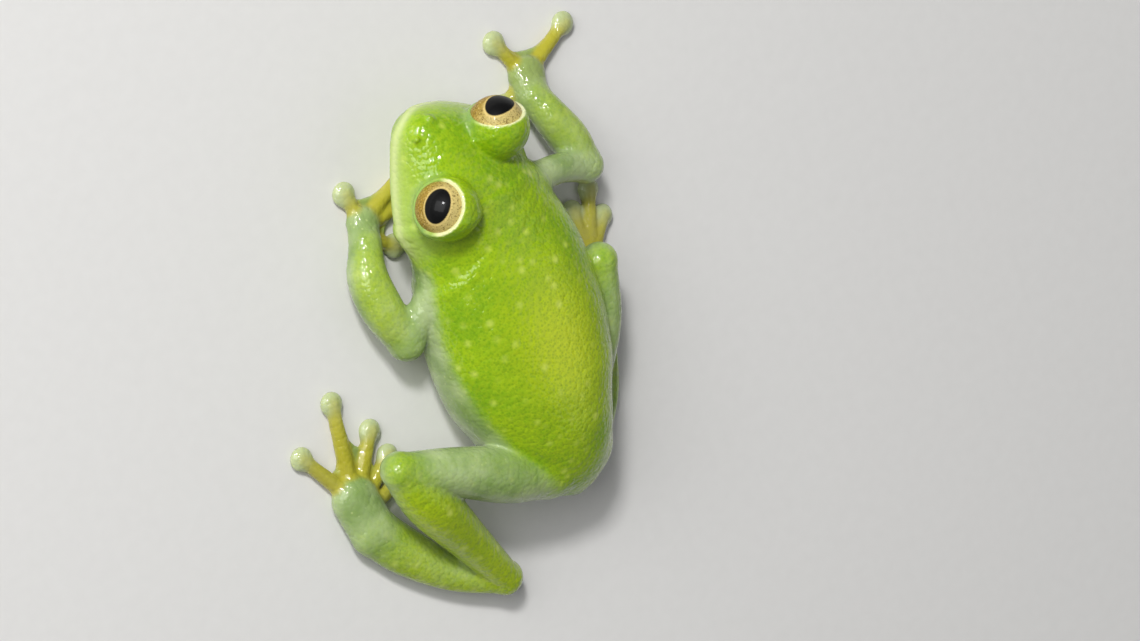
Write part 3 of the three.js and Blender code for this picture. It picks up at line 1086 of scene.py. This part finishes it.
# The pupil's half sizes in millimetres, and its edges as shares of them
PUPIL_LONG = 0.98
PUPIL_SHORT = 0.7
PUPIL_TILT = 8.0  # degrees, front end up
PUPIL_EDGE = (0.98, 1.03)
PUPIL_RING_EDGE = (1.03, 1.2)
IRIS_UPPER_HEIGHTS = (-0.9, 0.9)  # in millimetres, from the darker iris to the paler


def eye_material():
    s = Shader("frog_eye")
    where = s.place()
    specks = s.noise(where, pitch=0.1, detail=4, roughness=0.65)
    net = s.noise(where, pitch=0.12, detail=4, roughness=0.7)
    ring = s.math("MULTIPLY", s.amount("pupil_ring"), RING_STRENGTH)
    colour = s.mix(s.amount("iris_upper"), IRIS, IRIS_UPPER)
    colour = s.mix(s.between(specks, 0.5, 0.66, to_high=0.6), colour, IRIS_LIGHT)
    colour = s.mix(s.between(net, 0.5, 0.64, to_high=0.8), colour, IRIS_DARK)
    colour = s.mix(ring, colour, IRIS_LIGHT)
    colour = s.mix(s.amount("pupil"), colour, PUPIL)
    for name, value in {
        "Base Color": colour,
        "Roughness": 0.5,
        "Specular IOR Level": 0.1,
        "Coat Weight": 0.6,
        "Coat Roughness": 0.02,
        "Coat IOR": 1.22,
    }.items():
        s.put(s.surface, name, value)
    return s.material


def eyeball_mesh(eye, along, over, around=160, rings=120):
    """A ball with its pole where the eye looks."""
    angles = np.linspace(0, np.pi, rings + 1)[1:-1]
    turns = np.linspace(0, 2 * np.pi, around, endpoint=False)
    circle = np.cos(turns)[:, None] * along + np.sin(turns)[:, None] * over
    ring_points = [math.cos(angle) * eye["axis"] + math.sin(angle) * circle for angle in angles]
    directions = np.vstack([eye["axis"], *ring_points, -eye["axis"]])
    last = len(directions) - 1
    faces = []
    for i in range(around):
        j = (i + 1) % around
        faces.append((0, 1 + i, 1 + j))
        faces.append((last, last - around + j, last - around + i))
        for ring in range(len(angles) - 1):
            a = 1 + ring * around
            faces.append((a + i, a + around + i, a + around + j, a + j))
    return eye["centre"] + EYE_RADIUS * directions, faces


def pupil_axes(eye):
    """The directions along and across the pupil, whose long side is nearly level."""
    snout, crown = -HEAD_TURN[:, 1], HEAD_TURN[:, 2]
    level = unit(np.cross(crown, eye["axis"]))
    level *= np.sign(level @ snout)
    rise = unit(crown - (crown @ eye["axis"]) * eye["axis"])
    tilt = math.radians(PUPIL_TILT)
    along = math.cos(tilt) * level + math.sin(tilt) * rise
    return along, np.cross(eye["axis"], along)


def make_eye(side_name, material):
    eye = EYES[side_name]
    along, over = pupil_axes(eye)
    points, faces = eyeball_mesh(eye, along, over)
    piece = mesh_object(f"eyeball_{side_name}", points, faces, material)
    away = points - eye["centre"]
    pupil = np.hypot(away @ along / PUPIL_LONG, away @ over / PUPIL_SHORT)
    pupil[away @ eye["axis"] < 0] = math.inf
    set_attribute(piece, "pupil", fade(pupil, *PUPIL_EDGE))
    set_attribute(piece, "pupil_ring", fade(pupil, *PUPIL_RING_EDGE))
    set_attribute(piece, "iris_upper", ramp(away @ eye["upper"], *IRIS_UPPER_HEIGHTS))
    return piece


# Camera, by the photograph's view. The way to it is a unit vector with these forward and
# left parts, and the rest of it is up.
VIEW_FORWARD = 0.33
VIEW_LEFT = 0.47
VIEW_DISTANCE = 300.0
PIXELS_PER_MM = 18.0
PHOTO_WIDTH, PHOTO_HEIGHT = 1140, 641
TARGET = np.array([0.0, 0.0, 3.0])
TARGET_PIXEL = (522, 335)
AHEAD_IN_PHOTO = (-0.33, 0.944)  # where the frog's front points: to the right, and up
SENSOR_WIDTH = 36.0


def make_camera():
    view = np.array([VIEW_LEFT, -VIEW_FORWARD, math.sqrt(1 - VIEW_FORWARD ** 2 - VIEW_LEFT ** 2)])
    ahead = np.array([0.0, -1.0, 0.0])
    ahead = unit(ahead - (ahead @ view) * view)
    aside = np.cross(ahead, view)
    lean = math.atan2(*AHEAD_IN_PHOTO)
    right = math.sin(lean) * ahead + math.cos(lean) * aside
    up = math.cos(lean) * ahead - math.sin(lean) * aside
    aim = TARGET + (PHOTO_WIDTH / 2 - TARGET_PIXEL[0]) / PIXELS_PER_MM * right
    aim = aim + (TARGET_PIXEL[1] - PHOTO_HEIGHT / 2) / PIXELS_PER_MM * up
    data = bpy.data.cameras.new("camera")
    data.sensor_width = SENSOR_WIDTH
    data.lens = PIXELS_PER_MM * VIEW_DISTANCE * SENSOR_WIDTH / PHOTO_WIDTH
    data.clip_start = 0.01
    camera = bpy.data.objects.new("camera", data)
    bpy.context.scene.collection.objects.link(camera)
    pose = Matrix(np.column_stack([right, up, view]).tolist()).to_4x4()
    pose.translation = Vector(to_scene(aim + VIEW_DISTANCE * view))
    camera.matrix_world = pose
    bpy.context.scene.camera = camera


# The floor, in metres, and the lights: name, place, size in millimetres, and watts
FLOOR_HALF = 1.5
PAPER = rgb(0.72, 0.71, 0.69)
PAPER_PALE = rgb(0.76, 0.75, 0.73)
LIGHTS = (
    ("key", (240, -230, 240), 280, 0.95),
    ("small", (103, -227, 223), 45, 0.7),
    ("fill", (-180, 120, 330), 300, 0.12),
)
SKY = rgb(0.95, 0.97, 1.0)
SKY_STRENGTH = 0.16


def make_floor():
    half = FLOOR_HALF
    mesh = bpy.data.meshes.new("floor")
    corners = [(-half, -half, 0), (half, -half, 0), (half, half, 0), (-half, half, 0)]
    mesh.from_pydata(corners, [], [(0, 1, 2, 3)])
    s = Shader("floor_paper")
    grain = s.noise(s.place(), pitch=0.8, detail=3)
    s.put(s.surface, "Base Color", s.mix(grain, PAPER, PAPER_PALE))
    s.put(s.surface, "Roughness", 0.85)
    mesh.materials.append(s.material)
    floor = bpy.data.objects.new("floor", mesh)
    bpy.context.scene.collection.objects.link(floor)


def make_light(name, place, size, power):
    """A soft square light that looks at the frog from a place in millimetres."""
    data = bpy.data.lights.new(name, "AREA")
    data.size = size * MM
    data.energy = power
    light = bpy.data.objects.new(name, data)
    bpy.context.scene.collection.objects.link(light)
    light.location = Vector(to_scene(place))
    aim = Vector(to_scene(TARGET)) - light.location
    light.rotation_euler = aim.to_track_quat("-Z", "Y").to_euler()


def make_lights():
    for light in LIGHTS:
        make_light(*light)
    world = bpy.data.worlds.new("studio")
    world.use_nodes = True
    background = world.node_tree.nodes["Background"]
    background.inputs["Color"].default_value = SKY
    background.inputs["Strength"].default_value = SKY_STRENGTH
    bpy.context.scene.world = world


def build():
    bpy.context.scene.view_settings.view_transform = "Standard"
    make_camera()
    skin = make_skin(skin_material())
    flesh = [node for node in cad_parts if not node.startswith("eye_")]
    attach(skin, "root")
    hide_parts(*flesh)
    eye_finish = eye_material()
    for name, _ in SIDES:
        eyeball = make_eye(name, eye_finish)
        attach(eyeball, "root")
        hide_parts(f"eye_{name}")
    make_floor()
    make_lights()


build()
